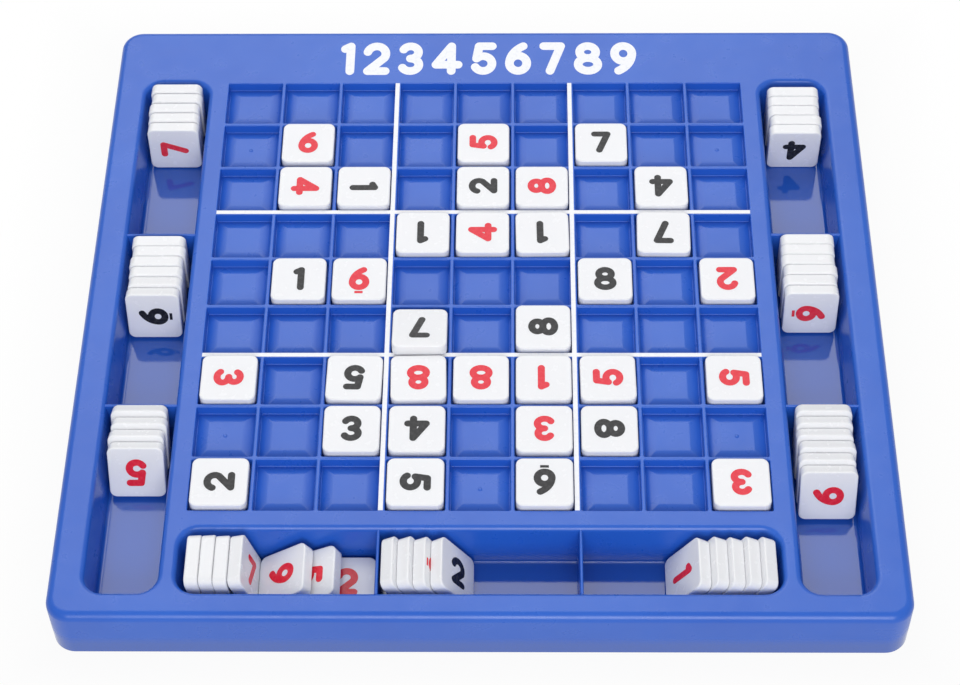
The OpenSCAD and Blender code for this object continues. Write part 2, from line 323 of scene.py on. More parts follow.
@dataclass(frozen=True)
class MouldedPlastic:
    """Glossy moulded plastic with faint flow marks, uneven gloss and a very fine grain; its low floors can be
    glossier and carry painted shade.
    """

    name: str
    colour: Colour
    deep_colour: Colour
    flow_scale: float
    gloss_low: float
    gloss_high: float
    grain_scale: float
    grain_height_mm: float
    polish_and_shade_below_mm: float = 0.0
    polish: float = 0.1
    # Darker colour of the low floors: painted shade in the deep wells.
    floor_colour: Colour = (0.0, 0.0, 0.0)
    floor_sheen: float = 0.5
    glow_depth_mm: float = 0.0
    SHEEN = 0.5
    FLOW_DETAIL = 4.0
    FLOW_SPAN = (0.35, 0.65)
    GLOSS_FINENESS = 6.0
    GLOSS_DETAIL = 3.0
    GLOSS_SPAN = (0.3, 0.7)
    GRAIN_DETAIL = 2.0
    FLOOR_BLEND_MM = 4.0
    GLOW_SHARE = 0.4
    GLOW_REACH = (1.0, 0.95, 0.95)

    def material(self) -> bpy.types.Material:
        """The node material of this finish."""
        graph = ShaderGraph(self.name)
        flow = graph.noise(self.flow_scale, self.FLOW_DETAIL)
        tint = graph.tint(flow, self.FLOW_SPAN, self.deep_colour, self.colour)
        patches = graph.noise(self.flow_scale * self.GLOSS_FINENESS, self.GLOSS_DETAIL)
        gloss = graph.range(patches, self.GLOSS_SPAN, (self.gloss_low, self.gloss_high))
        if self.polish_and_shade_below_mm > 0:
            tint, gloss = self.polish_and_shade_floor(graph, tint, gloss)
        graph.fill(graph.shader, {"Base Color": tint, "Roughness": gloss})
        graph.bump(graph.noise(self.grain_scale, self.GRAIN_DETAIL), self.grain_height_mm)
        if self.glow_depth_mm > 0:
            graph.fill(graph.shader, {
                "Subsurface Weight": self.GLOW_SHARE,
                "Subsurface Radius": self.GLOW_REACH,
                "Subsurface Scale": self.glow_depth_mm * MM,
            })
        return graph.material

    def polish_and_shade_floor(self, graph: "ShaderGraph", tint: Socket, gloss: Socket) -> tuple[Socket, Socket]:
        """Makes the low floors smoother and glossier than the rest, and darker in colour as painted shade.

        Args:
            graph: The material's nodes.
            tint: Colour of the rest of the surface.
            gloss: Roughness of the rest of the surface.

        Returns:
            Colour and roughness of the whole surface.
        """
        height = graph.add("ShaderNodeSeparateXYZ", {"Vector": graph.place}).outputs["Z"]
        edge = self.polish_and_shade_below_mm * MM
        above = graph.range(height, (edge, edge + self.FLOOR_BLEND_MM * MM))
        sheen = graph.range(above, (0.0, 1.0), (self.floor_sheen, self.SHEEN))
        graph.fill(graph.shader, {"Specular IOR Level": sheen})
        # Painted shade: the low floors in the deep wells take the darker floor colour.
        colour = graph.mix("RGBA", above, (*self.floor_colour, 1.0), tint)
        return colour, graph.mix("FLOAT", above, self.polish, gloss)


@dataclass(frozen=True)
class PrintedInk:
    """Thin glossy print with a slightly uneven cover."""

    name: str
    colour: Colour
    thin_colour: Colour
    roughness: float = 0.14
    sheen: float = 0.28
    COVER_SCALE = 700.0
    COVER_DETAIL = 4.0
    COVER_SPAN = (0.3, 0.55)
    GLOSS_SPAN = (0.3, 0.7)
    GLOSS_SHARES = (0.8, 1.2)

    def material(self) -> bpy.types.Material:
        """The node material of this finish."""
        graph = ShaderGraph(self.name)
        cover = graph.noise(self.COVER_SCALE, self.COVER_DETAIL)
        low, high = [self.roughness * share for share in self.GLOSS_SHARES]
        graph.fill(graph.shader, {
            "Base Color": graph.tint(cover, self.COVER_SPAN, self.thin_colour, self.colour),
            "Roughness": graph.range(cover, self.GLOSS_SPAN, (low, high)),
            "Specular IOR Level": self.sheen,
        })
        return graph.material


class ShaderGraph:
    """One node material and the nodes that feed its shader."""

    def __init__(self, name: str) -> None:
        """Makes an empty material.

        Args:
            name: Name of the material.
        """
        self.material = bpy.data.materials.new(name)
        self.material.use_nodes = True
        self.tree = self.material.node_tree
        self.shader = next(n for n in self.tree.nodes if n.type == "BSDF_PRINCIPLED")
        self.place = self.add("ShaderNodeTexCoord", {}).outputs["Object"]

    def fill(self, node: bpy.types.Node, inputs: dict[str | int, Feed]) -> None:
        """Feeds inputs of a node, each with a constant or from another node.

        Args:
            node: The node.
            inputs: What goes into each input, by its name or number.
        """
        for key, value in inputs.items():
            if isinstance(value, Socket):
                self.tree.links.new(value, node.inputs[key])
            else:
                node.inputs[key].default_value = value

    def add(self, kind: str, inputs: dict[str | int, Feed], **settings: str) -> bpy.types.Node:
        """Adds a node.

        Args:
            kind: Blender's name of the node type.
            inputs: What goes into its inputs.
            **settings: Properties to set on it.

        Returns:
            The new node.
        """
        node = self.tree.nodes.new(kind)
        for key, value in settings.items():
            setattr(node, key, value)
        self.fill(node, inputs)
        return node

    def noise(self, scale: float, detail: float) -> Socket:
        """Noise over the object, with its scale in waves per metre."""
        inputs = {"Vector": self.place, "Scale": scale, "Detail": detail}
        return self.add("ShaderNodeTexNoise", inputs).outputs["Fac"]

    def range(self, value: Socket, span: Point, to: Point = (0.0, 1.0)) -> Socket:
        """Maps a value from one span to another, held at both ends."""
        inputs = {"Value": value, "From Min": span[0], "From Max": span[1], "To Min": to[0], "To Max": to[1]}
        return self.add("ShaderNodeMapRange", inputs).outputs["Result"]

    def mix(self, kind: str, share: Socket, low: Feed, high: Feed) -> Socket:
        """Blends two colours (kind RGBA) or two numbers (kind FLOAT)."""
        inputs = {"Factor": share, "A": low, "B": high}
        return self.add("ShaderNodeMix", inputs, data_type=kind).outputs["Result"]

    def tint(self, value: Socket, span: Point, low: Colour, high: Colour) -> Socket:
        """Colour that goes from one to another while a value crosses a span."""
        return self.mix("RGBA", self.range(value, span), (*low, 1.0), (*high, 1.0))

    def math(self, operation: str, *values: Feed) -> Socket:
        """Result of a sum on one or two values."""
        return self.add("ShaderNodeMath", dict(enumerate(values)), operation=operation).outputs["Value"]

    def bump(self, height: Socket, depth_mm: float) -> None:
        """Feeds a height to the shader's normal, with its depth in millimetres."""
        node = self.add("ShaderNodeBump", {"Strength": 1.0, "Distance": depth_mm * MM, "Height": height})
        self.fill(self.shader, {"Normal": node.outputs["Normal"]})


class Board:
    """The moulded board: deck, skirt, cells with pads, wells with dividers and gate marks."""

    NODES = ("board_shell", "cell_floor", "long_ribs", "cross_ribs", "left_well", "right_well", "front_well")
    GATE_CELLS = ((2, 1), (2, 9), (8, 1), (8, 9), (9, 5))
    PAD_BLEND = 0.9
    PAD_CURVE = 1.3
    GROOVE_LIFT = 0.8
    PAD_STEPS = 10
    CELL_RADIUS = 0.5
    CELL_LEAST_RADIUS = 0.35
    # Steps up a divider: height from the well's floor or the divider's top, and change of half its thickness.
    DIVIDER_FOOT = ((-0.35, 0.25), (0.5, 0.25), (1.2, 0.0))
    DIVIDER_CROWN = ((-0.5, -0.1), (-0.15, -0.25), (0.0, -0.5))
    DIVIDER_BURY = 0.35
    # Side of a gate mark, as inset and height above the pad.
    GATE_SIDE = ((0.0, -0.2), (0.0, 0.02), (0.12, 0.12), (0.4, 0.22))
    GATE_RADIUS = 0.75
    GATE_LEAST_RADIUS = 0.05

    def __init__(self, sizes: BoardSizes) -> None:
        """Takes its place from the CAD nodes.

        Args:
            sizes: Sizes of the board.
        """
        self.sizes = sizes
        low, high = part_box("board_shell")
        self.width = (high.x - low.x) / MM
        self.depth = (high.y - low.y) / MM
        self.height = high.z / MM
        floor_low, floor_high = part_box("cell_floor")
        self.grid_y = (floor_low.y + floor_high.y) / 2 / MM
        self.front_y = -self.depth / 2 + sizes.front_rim
        self.mesh = LoopMesh()

    def build(self, finish: MouldedPlastic) -> bpy.types.Object:
        """Makes the whole moulding.

        Args:
            finish: Its plastic.

        Returns:
            The finished piece.
        """
        deck_border, under_border = self.skirt()
        wells = [self.side_well(-1), self.side_well(1), self.front_well()]
        deck_holes = [self.well_inside(well) for well in wells]
        numbers = range(1, self.sizes.cells + 1)
        deck_holes += [self.cell(row, column) for row in numbers for column in numbers]
        self.mesh.web(deck_border, deck_holes)
        under_holes = [self.well_outside(well) for well in wells] + [self.curtain()]
        self.mesh.web(under_border, under_holes)
        for well in wells:
            self.dividers(well)
        for row, column in self.GATE_CELLS:
            self.gate_mark(row, column)
        piece = self.mesh.build("board_moulding")
        piece.data.materials.append(finish.material())
        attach(piece, "board")
        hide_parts(*self.NODES)
        return piece

    def skirt(self) -> tuple[list[int], list[int]]:
        """Makes the rounded rim of the deck and the skirt, outside and inside.

        Returns:
            The deck's border and the border of the deck's underside.
        """
        s = self.sizes
        shape = RoundedRectangle(0, 0, self.width, self.depth, s.corner_r, arc_steps=12)
        foot = 0.4
        profile = profile_arc((s.edge_r, self.height - s.edge_r), s.edge_r, 90, 180, steps=8)
        profile += profile_arc((foot, foot), foot, 180, 270, steps=3)
        profile += [(s.wall_t - foot, 0.0), (s.wall_t, foot), (s.wall_t, self.height - s.deck_t)]
        return self.mesh.sweep(shape, profile)

    def side_well(self, side: int) -> RoundedRectangle:
        """Mouth of the well on the left (-1) or right (1)."""
        s = self.sizes
        back = self.grid_y + s.grid_w / 2 + s.side_overrun
        x = side * (s.grid_w / 2 + s.strip_w + s.side_w / 2)
        return RoundedRectangle(x, (back + self.front_y) / 2, s.side_w, back - self.front_y, s.well_corner_r)

    def front_well(self) -> RoundedRectangle:
        """Mouth of the well in front of the grid."""
        s = self.sizes
        length = s.grid_w + 2 * s.front_overrun
        return RoundedRectangle(0, self.front_y + s.front_w / 2, length, s.front_w, s.well_corner_r)

    def well_profile(self) -> list[Point]:
        """Side profile of a well's inside, from the deck to the floor."""
        s = self.sizes
        floor = self.height - s.well_depth
        blend = s.mouth_blend
        mouth = profile_arc((s.mouth_r - blend, self.height - blend), blend, 90, 0, steps=8)
        foot = profile_arc((s.wall_run + s.foot_r, floor + s.foot_r), s.foot_r, 180, 270, steps=5)
        return mouth + foot

    def well_inside(self, well: RoundedRectangle) -> list[int]:
        """Makes the inside of a well and returns its loop in the deck."""
        mouth, floor = self.mesh.sweep(well, self.well_profile())
        self.mesh.cap(floor)
        return mouth

    def well_outside(self, well: RoundedRectangle) -> list[int]:
        """Makes the outside of a well below the deck and returns its loop in the deck's underside."""
        s = self.sizes
        slope = s.well_draft / (s.well_depth - s.foot_r - s.mouth_r)
        top_inset = s.mouth_r + slope * (s.deck_t - s.mouth_r) - s.wall_t
        bottom = self.height - s.well_depth - s.wall_t
        rounding = 1.0
        inset = s.wall_run - s.wall_t
        profile = [(top_inset, self.height - s.deck_t)]
        profile += profile_arc((inset + rounding, bottom + rounding), rounding, 180, 270, steps=3)
        top, floor = self.mesh.sweep(well, profile)
        self.mesh.cap(floor)
        return top

    def curtain(self) -> list[int]:
        """Makes the underside of the cell floors and returns its loop in the deck's underside."""
        s = self.sizes
        width = s.opening_w + 2 * s.wall_t
        corner = 1.0
        chamfer = 0.5
        shape = RoundedRectangle(0, self.grid_y, width, width, corner)
        bottom = self.height - s.cell_depth - s.wall_t
        profile = [(0, self.height - s.deck_t), (0, bottom + chamfer), (chamfer, bottom)]
        top, floor = self.mesh.sweep(shape, profile)
        self.mesh.cap(floor)
        return top

    def cell_shape(self, row: int, column: int) -> RoundedRectangle:
        """Opening of one cell, by row from the back and column from the left."""
        x0, x1 = self.sizes.cell_span(column - 1)
        y0, y1 = self.sizes.cell_span(row - 1)
        return RoundedRectangle((x0 + x1) / 2, self.grid_y - (y0 + y1) / 2, x1 - x0, y1 - y0,
                                self.CELL_RADIUS, self.CELL_LEAST_RADIUS, arc_steps=3)

    def cell(self, row: int, column: int) -> list[int]:
        """Makes one cell with its rounded ribs, foot fillet and raised pad.

        Args:
            row: Row from the back.
            column: Column from the left.

        Returns:
            The cell's loop in the deck.
        """
        s = self.sizes
        top = self.height
        pad = top - s.cell_depth + s.pad_h
        valley = top - s.cell_depth + self.GROOVE_LIFT
        crown = 0.4
        draft = 0.12
        fillet = 0.25
        fillet_end = 290
        profile = profile_arc((-crown, top - crown), crown, 90, 0, steps=4)
        profile += profile_arc((draft + fillet, valley + fillet), fillet, 180, fillet_end, steps=6)
        profile += self.pad_side(profile[-1], (s.pad_slope + self.PAD_BLEND, pad))
        opening, plateau = self.mesh.sweep(self.cell_shape(row, column), profile)
        self.mesh.cap(plateau)
        return opening

    def pad_side(self, foot: Point, top: Point) -> list[Point]:
        """Curve that is steep at the foot of a pad and levels out at its top.

        Args:
            foot: Start of the curve, as inset and height.
            top: Start of the pad's flat top.

        Returns:
            The points after the foot.
        """
        points = []
        for step in range(1, self.PAD_STEPS + 1):
            share = step / self.PAD_STEPS
            rise = 1.0 - (1.0 - share) ** self.PAD_CURVE
            points.append((foot[0] + (top[0] - foot[0]) * share, foot[1] + (top[1] - foot[1]) * rise))
        return points

    def dividers(self, well: RoundedRectangle) -> None:
        """Makes the two thin walls across a well, rounded on top and set a little into its sides.

        Args:
            well: The well's mouth.
        """
        s = self.sizes
        along_y = well.size_y > well.size_x
        length = max(well.size_x, well.size_y)
        half_width = min(well.size_x, well.size_y) / 2
        floor = self.height - s.well_depth
        top = self.height - s.divider_drop
        half = s.divider_t / 2
        levels = [(floor + rise, half + change) for rise, change in self.DIVIDER_FOOT]
        levels += [(top + rise, half + change) for rise, change in self.DIVIDER_CROWN]
        for k in range(1, s.compartments):
            offset = length * (k / s.compartments - 0.5)
            loops = []
            for height, thick in levels:
                reach = half_width - self.inset_at(height) + self.DIVIDER_BURY
                corners = [(reach, thick), (-reach, thick), (-reach, -thick), (reach, -thick)]
                if along_y:
                    corners = [(well.centre_x + a, well.centre_y + offset + b) for a, b in corners]
                else:
                    corners = [(well.centre_x + offset + b, well.centre_y + a) for a, b in corners]
                loops.append(self.mesh.loop(corners, height))
            for upper, lower in zip(loops, loops[1:]):
                self.mesh.bridge(upper, lower)
            self.mesh.cap(loops[0])
            self.mesh.cap(loops[-1])

    def inset_at(self, height: float) -> float:
        """How far a well has narrowed at a height, leaving out the fillet at its foot."""
        s = self.sizes
        foot = self.height - s.well_depth + s.foot_r
        rim = self.height - s.mouth_r
        share = min(max((rim - height) / (rim - foot), 0.0), 1.0)
        return s.mouth_r + s.well_draft * share

    def gate_mark(self, row: int, column: int) -> None:
        """Makes the small raised mark that the moulding gate leaves on a pad.

        Args:
            row: Row of the cell from the back.
            column: Column of the cell from the left.
        """
        shape = self.cell_shape(row, column)
        pad = self.height - self.sizes.cell_depth + self.sizes.pad_h
        size = 2 * self.GATE_RADIUS
        dot = RoundedRectangle(shape.centre_x, shape.centre_y, size, size,
                               self.GATE_RADIUS, self.GATE_LEAST_RADIUS, arc_steps=4)
        profile = [(inset, pad + rise) for inset, rise in self.GATE_SIDE]
        bottom, top = self.mesh.sweep(dot, profile)
        self.mesh.cap(bottom)
        self.mesh.cap(top)


class NumeralShapes:
    """Plain bold digits with round ends, drawn as strokes in a box one unit high."""

    STROKE = 0.235
    LOW = STROKE / 2
    HIGH = 1.0 - STROKE / 2
    MIDDLE = 0.5
    SHARP_TURN = math.radians(28)
    DOT_SIDES = 20
    ARC_STEP = 12.0
    LEAST_ARC_STEPS = 4
    SIX_WIDTH = 0.7

    def __init__(self) -> None:
        """Sets out the patches of every digit."""
        low, high = self.LOW, self.HIGH
        six = self.six()
        strokes: dict[int, list[Outline]] = {
            1: [[(low, 0.8), (0.27, high), (0.27, low)]],
            2: [[*self.arc((0.365, 0.645), 0.2475, high - 0.645, 165, -32),
                 (low + 0.02, low), (0.6125, low)]],
            3: [self.arc((0.345, 0.6925), 0.212, 0.19, 152, -90),
                self.arc((0.345, 0.31), 0.2325, 0.1925, 90, -152)],
            4: [[(0.53, high), (low, 0.31), (0.7125, 0.31)], [(0.53, high), (0.53, low)]],
            5: [[(0.56, high), (0.205, high), *self.arc((0.315, 0.345), 0.2375, 0.2275, 138, -152)]],
            6: six,
            7: [[(low, high), (0.575, high), (0.28, low)]],
            8: [self.arc((0.38, 0.695), 0.215, 0.1875, 0, 360),
                self.arc((0.38, 0.315), 0.2625, 0.1975, 0, 360)],
            9: [[(self.SIX_WIDTH - x, 1.0 - y) for x, y in stroke] for stroke in six],
        }
        self.patches: dict[int, list[Outline]] = {}
        for digit, found in strokes.items():
            self.patches[digit] = [patch for stroke in found for patch in self.ribbon(stroke)]

    def six(self) -> list[Outline]:
        """Strokes of the digit six: a round bowl and a tail that curves up from its left side."""
        bowl = self.arc((0.35, 0.3525), 0.2325, 0.235, 0, 360)
        start, bend, end = Vector((0.12, 0.385)), Vector((0.16, 0.71)), Vector((0.49, self.HIGH))
        steps = 8
        tail = []
        for i in range(steps + 1):
            t = i / steps
            tail.append(tuple(start * (1 - t) ** 2 + bend * 2 * t * (1 - t) + end * t ** 2))
        return [bowl, tail]

    def arc(self, centre: Point, radius_x: float, radius_y: float, start: float, end: float) -> Outline:
        """Points along an oval.

        Args:
            centre: Centre of the oval.
            radius_x: Half its width.
            radius_y: Half its height.
            start: First angle in degrees.
            end: Last angle in degrees.

        Returns:
            The points, both ends included.
        """
        steps = max(self.LEAST_ARC_STEPS, round(abs(end - start) / self.ARC_STEP))
        angles = [math.radians(start + (end - start) * i / steps) for i in range(steps + 1)]
        return [(centre[0] + radius_x * math.cos(a), centre[1] + radius_y * math.sin(a)) for a in angles]

    def ribbon(self, stroke: Outline) -> list[Outline]:
        """Patches that cover a stroke: a band along each smooth run and a dot at each end and sharp bend.

        Args:
            stroke: Points along the middle of the stroke.

        Returns:
            Patches that may overlap.
        """
        half = self.STROKE / 2
        points = [Vector(p) for p in stroke]
        runs = [(b - a).normalized() for a, b in zip(points, points[1:])]
        patches = [self.dot(points[0]), self.dot(points[-1])]
        left_start = right_start = None
        for i, run in enumerate(runs):
            side = Vector((-run.y, run.x)) * half
            if left_start is None:
                left_start, right_start = points[i] + side, points[i] - side
            turn = runs[i + 1].angle(run) if i + 1 < len(runs) else math.pi
            if turn < self.SHARP_TURN:
                middle = (run + runs[i + 1]).normalized()
                side = Vector((-middle.y, middle.x)) * half / math.cos(turn / 2)
            left_end, right_end = points[i + 1] + side, points[i + 1] - side
            patches.append([tuple(right_start), tuple(right_end), tuple(left_end), tuple(left_start)])
            left_start, right_start = left_end, right_end
            if turn >= self.SHARP_TURN:
                patches.append(self.dot(points[i + 1]))
                left_start = right_start = None
        return patches

    def dot(self, centre: Vector) -> Outline:
        """A round dot as wide as the stroke."""
        angles = [2 * math.pi * i / self.DOT_SIDES for i in range(self.DOT_SIDES)]
        half = self.STROKE / 2
        return [(centre.x + half * math.cos(a), centre.y + half * math.sin(a)) for a in angles]

    @staticmethod
    def bar(x0: float, y0: float, x1: float, y1: float) -> Outline:
        """A straight bar between two corners."""
        return [(x0, y0), (x1, y0), (x1, y1), (x0, y1)]

    def width(self, digit: int) -> Point:
        """Left and right end of a digit."""
        xs = [x for patch in self.patches[digit] for x, _ in patch]
        return min(xs), max(xs)


class PrintPlate:
    """A thin plate of ink that holds one or more digits."""

    THICKNESS = 0.035
    SUNK = 0.02
    MERGE = 1e-4
    UNDERBAR = ((-0.14, -0.135), (0.14, -0.04))

    def __init__(self, shapes: NumeralShapes) -> None:
        """Starts an empty plate.

        Args:
            shapes: Shapes of the digits.
        """
        self.shapes = shapes
        self.patches: list[Outline] = []

    def digit(self, digit: int, height: float, at: Point = (0.0, 0.0), stretch: float = 1.0,
              barred: bool = False) -> None:
        """Adds a digit, centred on a point.

        Args:
            digit: The digit, from 1 to 9.
            height: Its height in millimetres.
            at: Where its middle is.
            stretch: Its width as a share of its usual width.
            barred: Whether it has the short bar under it that tells a six from a nine.
        """
        low, high = self.shapes.width(digit)
        middle = (low + high) / 2
        patches = list(self.shapes.patches[digit])
        if barred:
            (x0, y0), (x1, y1) = self.UNDERBAR
            patches.append(NumeralShapes.bar(middle + x0, y0, middle + x1, y1))
        for patch in patches:
            self.patches.append([
                (at[0] + (x - middle) * height * stretch, at[1] + (y - NumeralShapes.MIDDLE) * height)
                for x, y in patch
            ])

    def build(self, name: str, place: Matrix) -> bpy.types.Object:
        """Joins the patches into one closed plate.

        Args:
            name: Name of the new object.
            place: Place of the plate's middle, with +Z out of the surface.

        Returns:
            The plate.
        """
        points = [Vector(p) for patch in self.patches for p in patch]
        faces = []
        first = 0
        for patch in self.patches:
            numbers = list(range(first, first + len(patch)))
            area = sum(points[a].x * points[b].y - points[b].x * points[a].y
                       for a, b in zip(numbers, numbers[1:] + numbers[:1]))
            faces.append(numbers if area > 0 else numbers[::-1])
            first += len(patch)
        flat, _, found, _, _, owners = delaunay_2d_cdt(points, [], faces, INSIDE_TRIANGLES, self.MERGE)
        triangles = [triangle for triangle, patches in zip(found, owners) if patches]
        outline = [tuple(point) for point in flat]
        mesh = LoopMesh()
        top = mesh.loop(outline, self.THICKNESS)
        bottom = mesh.loop(outline, -self.SUNK)
        rim: dict[tuple[int, int], bool] = {}
        for a, b, c in triangles:
            mesh.faces.append([top[a], top[b], top[c]])
            mesh.faces.append([bottom[c], bottom[b], bottom[a]])
            for edge in ((a, b), (b, c), (c, a)):
                rim[edge] = True
        for a, b in rim:
            if (b, a) not in rim:
                mesh.faces.append([top[b], top[a], bottom[a], bottom[b]])
        piece = mesh.build(name, sharp_angle=30.0)
        piece.matrix_world = place
        return piece


@dataclass(frozen=True)
class GridPrint:
    """Digit on a tile that lies in the grid."""

    row: int
    column: int
    digit: int
    ink: Ink
    turn: Turn
    twist: float = 0.0
    tilt: float = 0.0
    barred: bool = False

    @property
    def node(self) -> str:
        """Name of the CAD tile."""
        return f"tile_r{self.row}c{self.column}"

    @property
    def facing(self) -> Vector:
        """Direction that the printed face looks in."""
        return Vector((0, math.sin(math.radians(self.tilt)), math.cos(math.radians(self.tilt))))


@dataclass(frozen=True)
class WellPrint:
    """Digit on a tile that stands or lies in a well.

    The heading is the compass way that the face looks, from +X towards +Y, and the rise is its upward tilt.
    A raised digit sits that many millimetres above the middle of its face.
    """

    node: str
    heading: float
    rise: float
    digit: int
    ink: Ink
    turn: Turn
    barred: bool = False
    raised: float = 0.0

    @property
    def facing(self) -> Vector:
        """Direction that the printed face looks in."""
        a, b = math.radians(self.heading), math.radians(self.rise)
        return Vector((math.cos(a) * math.cos(b), math.sin(a) * math.cos(b), math.sin(b)))


RED, BLACK = Ink
UPRIGHT, LEFT, OVER, RIGHT = Turn

GRID_PRINTS = (
    GridPrint(2, 2, 6, RED, UPRIGHT),
    GridPrint(2, 5, 5, RED, LEFT),
    GridPrint(2, 7, 7, BLACK, UPRIGHT),
    GridPrint(3, 2, 4, RED, RIGHT),
    GridPrint(3, 3, 1, BLACK, RIGHT),
    GridPrint(3, 5, 2, BLACK, LEFT),
    GridPrint(3, 6, 8, RED, LEFT),
    GridPrint(3, 8, 4, BLACK, OVER),
    GridPrint(4, 4, 1, BLACK, OVER),
    GridPrint(4, 5, 4, RED, LEFT),
    GridPrint(4, 6, 1, BLACK, OVER, twist=1.0),
    GridPrint(4, 8, 7, BLACK, OVER, twist=-1.0),
    GridPrint(5, 2, 1, BLACK, UPRIGHT),
    GridPrint(5, 3, 6, RED, UPRIGHT, barred=True),
    GridPrint(5, 7, 8, BLACK, UPRIGHT),
    GridPrint(5, 9, 2, RED, OVER),
    GridPrint(6, 4, 7, BLACK, OVER, tilt=9.5),
    GridPrint(6, 6, 8, BLACK, LEFT),
    GridPrint(7, 1, 3, RED, RIGHT),
    GridPrint(7, 3, 5, BLACK, OVER, twist=-1.0),
    GridPrint(7, 4, 8, RED, OVER, twist=1.2),
    GridPrint(7, 5, 8, RED, OVER),
    GridPrint(7, 6, 1, RED, OVER),
    GridPrint(7, 7, 5, RED, LEFT, twist=0.8),
    GridPrint(7, 9, 5, RED, RIGHT),
    GridPrint(8, 3, 3, BLACK, UPRIGHT),
    GridPrint(8, 4, 4, BLACK, OVER),
    GridPrint(8, 6, 3, RED, OVER),
    GridPrint(8, 7, 8, BLACK, RIGHT),
    GridPrint(9, 1, 2, BLACK, LEFT),
    GridPrint(9, 4, 5, BLACK, RIGHT),
    GridPrint(9, 6, 6, BLACK, OVER, barred=True),
    GridPrint(9, 9, 3, RED, OVER),
)

WELL_PRINTS = (
    WellPrint("left_back_tiles", -90, 5, 7, RED, LEFT),
    WellPrint("left_middle_tiles", -90, 14, 6, BLACK, LEFT, barred=True),
    WellPrint("left_front_tiles", -90, 25, 5, RED, OVER),
    WellPrint("right_back_tiles", -90, 0, 4, BLACK, OVER),
    WellPrint("right_middle_tiles", -90, 9.5, 6, RED, RIGHT, barred=True),
    WellPrint("right_front_tiles", -90, 22, 9, RED, RIGHT),
    WellPrint("front_left_tiles", 0, 15, 7, RED, RIGHT),
    WellPrint("front_left_tiles", 180, 55, 9, RED, RIGHT),
    WellPrint("front_left_tiles", 180, 62.5, 5, RED, RIGHT),
    WellPrint("front_left_tiles", 180, 90, 2, RED, UPRIGHT),
    WellPrint("front_middle_tiles", 0, 33, 2, BLACK, RIGHT),
    WellPrint("front_middle_tiles", 0, 28, 6, RED, OVER, barred=True, raised=1.6),
    WellPrint("front_right_tiles", 180, 33, 1, RED, UPRIGHT),
)


class Tiles:
    """The loose tiles, which keep their CAD shape, and the digits printed on them."""

    DIGIT_HEIGHT = 10.6
    LEAST_FACE_MM2 = 150.0
    FACING_LIMIT = math.cos(math.radians(3.0))
    WELD_MM = 0.002
    # Polygons of one face agree in offset to a fifth of a millimetre and in normal to a hundredth.
    OFFSET_STEPS = 5
    NORMAL_STEPS = 100
    LYING_RISE = 40

    def __init__(self, plastic: MouldedPlastic, inks: dict[Ink, PrintedInk], shapes: NumeralShapes) -> None:
        """Takes the finishes of the tiles.

        Args:
            plastic: Plastic of the tiles.
            inks: Finish of each printing ink.
            shapes: Shapes of the digits.
        """
        self.plastic = plastic.material()
        self.inks = {ink: finish.material() for ink, finish in inks.items()}
        self.shapes = shapes

    def dress(self) -> int:
        """Gives every CAD tile its plastic and smooth edges.

        Returns:
            The number of tile nodes.
        """
        names = [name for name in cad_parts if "tile" in name]
        for name in names:
            node = give_material(name, self.plastic)
            weld = node.modifiers.new("weld", "WELD")
            weld.merge_threshold = self.WELD_MM * MM
            even_normals(node)
        return len(names)

    def printed_face(self, node: str, facing: Vector) -> tuple[Vector, Vector]:
        """Finds the foremost flat face of a CAD tile that looks in a direction.

        Args:
            node: The CAD node.
            facing: The direction.

        Returns:
            The middle of the face and its normal.

        Raises:
            ValueError: No flat face looks that way.
        """
        faces: dict[tuple[int, ...], list[bpy.types.MeshPolygon]] = {}
        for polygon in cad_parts[node].data.polygons:
            if polygon.normal.dot(facing) < self.FACING_LIMIT:
                continue
            offset = polygon.center.dot(polygon.normal)
            direction = [round(v * self.NORMAL_STEPS) for v in polygon.normal]
            key = (round(offset / MM * self.OFFSET_STEPS), *direction)
            faces.setdefault(key, []).append(polygon)
        found = []
        for group in faces.values():
            area = sum(p.area for p in group)
            if area > self.LEAST_FACE_MM2 * MM * MM:
                middle = sum((p.center * p.area for p in group), Vector()) / area
                found.append((middle.dot(facing), middle, group[0].normal.copy()))
        if not found:
            raise ValueError(f"{node} has no flat face towards {facing}")
        _, middle, normal = max(found, key=lambda item: item[0])
        return middle, normal

    def print_digit(self, name: str, item: GridPrint | WellPrint, up: Vector, twist: float = 0.0,
                    raised: float = 0.0) -> None:
        """Prints one digit on its tile.

        Args:
            name: Name of the new piece.
            item: The digit and where it goes.
            up: Direction that an upright digit points in.
            twist: Small turn of the tile itself, in degrees.
            raised: Distance above the middle of the face, in millimetres.
        """
        middle, normal = self.printed_face(item.node, item.facing)
        across = up.cross(normal).normalized()
        along = normal.cross(across)
        place = Matrix((across, along, normal)).transposed().to_4x4()
        place.translation = middle + along * raised * MM
        place = place @ Matrix.Rotation(math.radians(item.turn.value + twist), 4, "Z")
        plate = PrintPlate(self.shapes)
        plate.digit(item.digit, self.DIGIT_HEIGHT, barred=item.barred)
        piece = plate.build(name, place)
        piece.data.materials.append(self.inks[item.ink])
        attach(piece, item.node)

    def print_all(self) -> int:
        """Prints every digit that shows.

        Returns:
            The number of digits.
        """
        for item in GRID_PRINTS:
            self.print_digit(f"digit_r{item.row}c{item.column}", item, Vector((0, 1, 0)), item.twist)
        for number, item in enumerate(WELL_PRINTS):
            up = Vector((0, 1, 0)) if item.rise > self.LYING_RISE else Vector((0, 0, 1))
            self.print_digit(f"digit_{item.node}_{number}", item, up, raised=item.raised)
        return len(GRID_PRINTS) + len(WELL_PRINTS)


